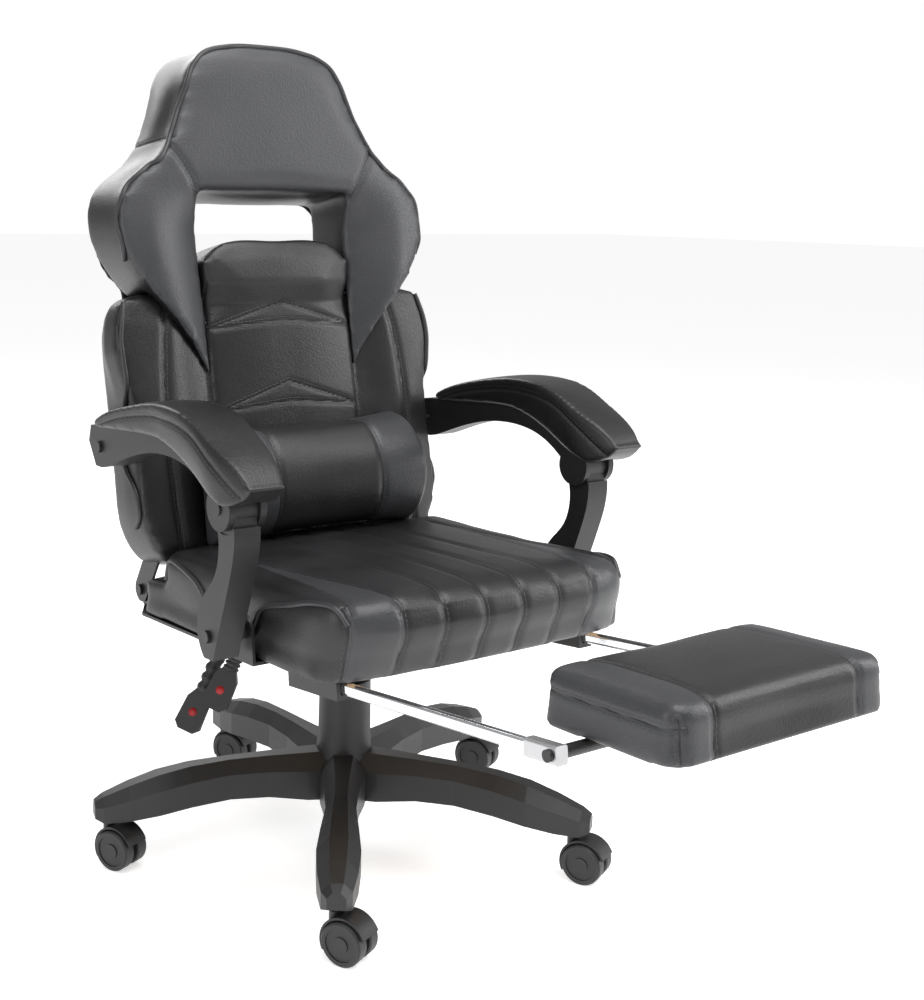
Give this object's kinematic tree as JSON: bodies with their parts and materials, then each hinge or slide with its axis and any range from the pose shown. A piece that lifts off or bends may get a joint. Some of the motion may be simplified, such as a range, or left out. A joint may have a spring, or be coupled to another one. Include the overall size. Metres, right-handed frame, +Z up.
{
  "type": "gaming chair",
  "caption": "High-backed gaming chair on a star base with casters: gas lift, swivel, reclining back with linked arms, lumbar pillow, pull-out footrest.",
  "frame": {"origin": "on the floor under the centre of the whole chair's box, footrest pulled out", "axes": "+Z up, the chair faces -Y, the sitter's right is -X"},
  "size_m": [0.7002, 1.1217, 1.1316],
  "materials": {
    "black_leather": "grained synthetic leather, satin",
    "black_nylon": "fine texture, satin",
    "caster_tread": "smooth",
    "black_steel": "powder coat",
    "chrome": "polished",
    "steel": "zinc plated",
    "plywood": "raw"
  },
  "bodies": {
    "base": {"star_base": "black_nylon", "gas_cylinder": "black_steel", "lower_column_cover": "black_nylon"},
    "column": {"gas_piston": "steel", "upper_column_cover": "black_nylon"},
    "seat": {"mechanism_housing": "black_steel", "mounting_plate": "black_steel", "mechanism_bolts": "steel", "seat_board": "plywood", "seat_cushion": "black_leather", "side_frame_left": "black_steel", "side_frame_right": "black_steel", "pivot_bolts": "steel", "rail_guide_left": "black_nylon", "rail_guide_right": "black_nylon"},
    "height_lever": {"height_lever": "black_nylon"},
    "recline_lever": {"recline_lever": "black_nylon"},
    "back": {"back_frame": "black_steel", "back_cushion": "black_leather", "headrest_cushion": "black_leather", "back_cover": "black_leather", "lumbar_pillow": "black_leather", "rear_arm_bolts": "steel"},
    "arm_left": {"arm_frame_left": "black_nylon", "arm_pad_left": "black_leather", "arm_pivot_pin_left": "steel"},
    "arm_post_left": {"arm_post_left": "black_nylon"},
    "arm_right": {"arm_frame_right": "black_nylon", "arm_pad_right": "black_leather", "arm_pivot_pin_right": "steel"},
    "arm_post_right": {"arm_post_right": "black_nylon"},
    "footrest_rails": {"footrest_rail_left": "chrome", "footrest_rail_right": "chrome", "rail_end_left": "chrome", "rail_end_right": "chrome"},
    "footrest_pad": {"footrest_bar": "black_steel", "footrest_board": "plywood", "footrest_cushion": "black_leather"},
    "caster_1": {"caster_hood_1": "black_nylon", "caster_pins_1": "steel"},
    "wheel_1a": {"caster_wheel_1a": "caster_tread"},
    "wheel_1b": {"caster_wheel_1b": "caster_tread"},
    "caster_2": {"caster_hood_2": "black_nylon", "caster_pins_2": "steel"},
    "wheel_2a": {"caster_wheel_2a": "caster_tread"},
    "wheel_2b": {"caster_wheel_2b": "caster_tread"},
    "caster_3": {"caster_hood_3": "black_nylon", "caster_pins_3": "steel"},
    "wheel_3a": {"caster_wheel_3a": "caster_tread"},
    "wheel_3b": {"caster_wheel_3b": "caster_tread"},
    "caster_4": {"caster_hood_4": "black_nylon", "caster_pins_4": "steel"},
    "wheel_4a": {"caster_wheel_4a": "caster_tread"},
    "wheel_4b": {"caster_wheel_4b": "caster_tread"},
    "caster_5": {"caster_hood_5": "black_nylon", "caster_pins_5": "steel"},
    "wheel_5a": {"caster_wheel_5a": "caster_tread"},
    "wheel_5b": {"caster_wheel_5b": "caster_tread"}
  },
  "joints": [
    {"name": "gas_lift", "type": "slide", "parent": "base", "child": "column", "axis": [0, 0, 1], "range_m": [0, 0.09]},
    {"name": "seat_swivel", "type": "hinge", "parent": "column", "child": "seat", "pos_m": [0, 0.197, 0.3], "axis": [0, 0, 1], "continuous": true},
    {"name": "height_lever_turn", "type": "hinge", "parent": "seat", "child": "height_lever", "pos_m": [-0.1, 0.22849, 0.29229], "axis": [1, 0, 0], "range_deg": [0, 12], "stiffness_Nm_per_rad": 4},
    {"name": "recline_lever_turn", "type": "hinge", "parent": "seat", "child": "recline_lever", "pos_m": [-0.1, 0.27228, 0.28699], "axis": [1, 0, 0], "range_deg": [0, 12], "stiffness_Nm_per_rad": 4},
    {"name": "back_recline", "type": "hinge", "parent": "seat", "child": "back", "pos_m": [0, 0.39688, 0.35256], "axis": [-1, 0, 0], "range_deg": [0, 35]},
    {"name": "arm_left_hinge", "type": "hinge", "parent": "back", "child": "arm_left", "pos_m": [0, 0.35935, 0.57282], "axis": [1, 0, 0], "range_deg": [0, 36.2]},
    {"name": "arm_post_left_hinge", "type": "hinge", "parent": "seat", "child": "arm_post_left", "pos_m": [0, 0.06107, 0.38417], "axis": [-1, 0, 0], "range_deg": [0, 47.9]},
    {"name": "arm_right_hinge", "type": "hinge", "parent": "back", "child": "arm_right", "pos_m": [0, 0.35935, 0.57282], "axis": [1, 0, 0], "range_deg": [0, 36.2]},
    {"name": "arm_post_right_hinge", "type": "hinge", "parent": "seat", "child": "arm_post_right", "pos_m": [0, 0.06107, 0.38417], "axis": [-1, 0, 0], "range_deg": [0, 47.9]},
    {"name": "footrest_slide", "type": "slide", "parent": "seat", "child": "footrest_rails", "axis": [0, 0.9936, -0.1132], "range_m": [0, 0.315]},
    {"name": "footrest_flip", "type": "hinge", "parent": "footrest_rails", "child": "footrest_pad", "pos_m": [0, -0.43704, 0.38228], "axis": [1, 0, 0], "range_deg": [0, 180]},
    {"name": "caster_1_swivel", "type": "hinge", "parent": "base", "child": "caster_1", "pos_m": [0, 0.532, 0.062], "axis": [0, 0, 1], "continuous": true},
    {"name": "wheel_1a_roll", "type": "hinge", "parent": "caster_1", "child": "wheel_1a", "pos_m": [0.00758, 0.51458, 0.028], "axis": [-0.9171, -0.3987, 0], "continuous": true},
    {"name": "wheel_1b_roll", "type": "hinge", "parent": "caster_1", "child": "wheel_1b", "pos_m": [0.00758, 0.51458, 0.028], "axis": [-0.9171, -0.3987, 0], "continuous": true},
    {"name": "caster_2_swivel", "type": "hinge", "parent": "base", "child": "caster_2", "pos_m": [-0.3186, 0.30052, 0.062], "axis": [0, 0, 1], "continuous": true},
    {"name": "wheel_2a_roll", "type": "hinge", "parent": "caster_2", "child": "wheel_2a", "pos_m": [-0.31103, 0.2831, 0.028], "axis": [-0.9171, -0.3987, 0], "continuous": true},
    {"name": "wheel_2b_roll", "type": "hinge", "parent": "caster_2", "child": "wheel_2b", "pos_m": [-0.31103, 0.2831, 0.028], "axis": [-0.9171, -0.3987, 0], "continuous": true},
    {"name": "caster_3_swivel", "type": "hinge", "parent": "base", "child": "caster_3", "pos_m": [-0.19691, -0.07402, 0.062], "axis": [0, 0, 1], "continuous": true},
    {"name": "wheel_3a_roll", "type": "hinge", "parent": "caster_3", "child": "wheel_3a", "pos_m": [-0.18933, -0.09144, 0.028], "axis": [-0.9171, -0.3987, 0], "continuous": true},
    {"name": "wheel_3b_roll", "type": "hinge", "parent": "caster_3", "child": "wheel_3b", "pos_m": [-0.18933, -0.09144, 0.028], "axis": [-0.9171, -0.3987, 0], "continuous": true},
    {"name": "caster_4_swivel", "type": "hinge", "parent": "base", "child": "caster_4", "pos_m": [0.19691, -0.07402, 0.062], "axis": [0, 0, 1], "continuous": true},
    {"name": "wheel_4a_roll", "type": "hinge", "parent": "caster_4", "child": "wheel_4a", "pos_m": [0.20448, -0.09144, 0.028], "axis": [-0.9171, -0.3987, 0], "continuous": true},
    {"name": "wheel_4b_roll", "type": "hinge", "parent": "caster_4", "child": "wheel_4b", "pos_m": [0.20448, -0.09144, 0.028], "axis": [-0.9171, -0.3987, 0], "continuous": true},
    {"name": "caster_5_swivel", "type": "hinge", "parent": "base", "child": "caster_5", "pos_m": [0.3186, 0.30052, 0.062], "axis": [0, 0, 1], "continuous": true},
    {"name": "wheel_5a_roll", "type": "hinge", "parent": "caster_5", "child": "wheel_5a", "pos_m": [0.32618, 0.2831, 0.028], "axis": [-0.9171, -0.3987, 0], "continuous": true},
    {"name": "wheel_5b_roll", "type": "hinge", "parent": "caster_5", "child": "wheel_5b", "pos_m": [0.32618, 0.2831, 0.028], "axis": [-0.9171, -0.3987, 0], "continuous": true}
  ],
  "couplings": [
    {"joint": "arm_left_hinge", "follows": "back_recline", "ratio": 1.02},
    {"joint": "arm_right_hinge", "follows": "back_recline", "ratio": 1.02},
    {"joint": "arm_post_left_hinge", "follows": "back_recline", "ratio": 1.325},
    {"joint": "arm_post_right_hinge", "follows": "back_recline", "ratio": 1.325},
    {"joint": "footrest_flip", "follows": "footrest_slide", "rad_per_m": 9.9732}
  ]
}
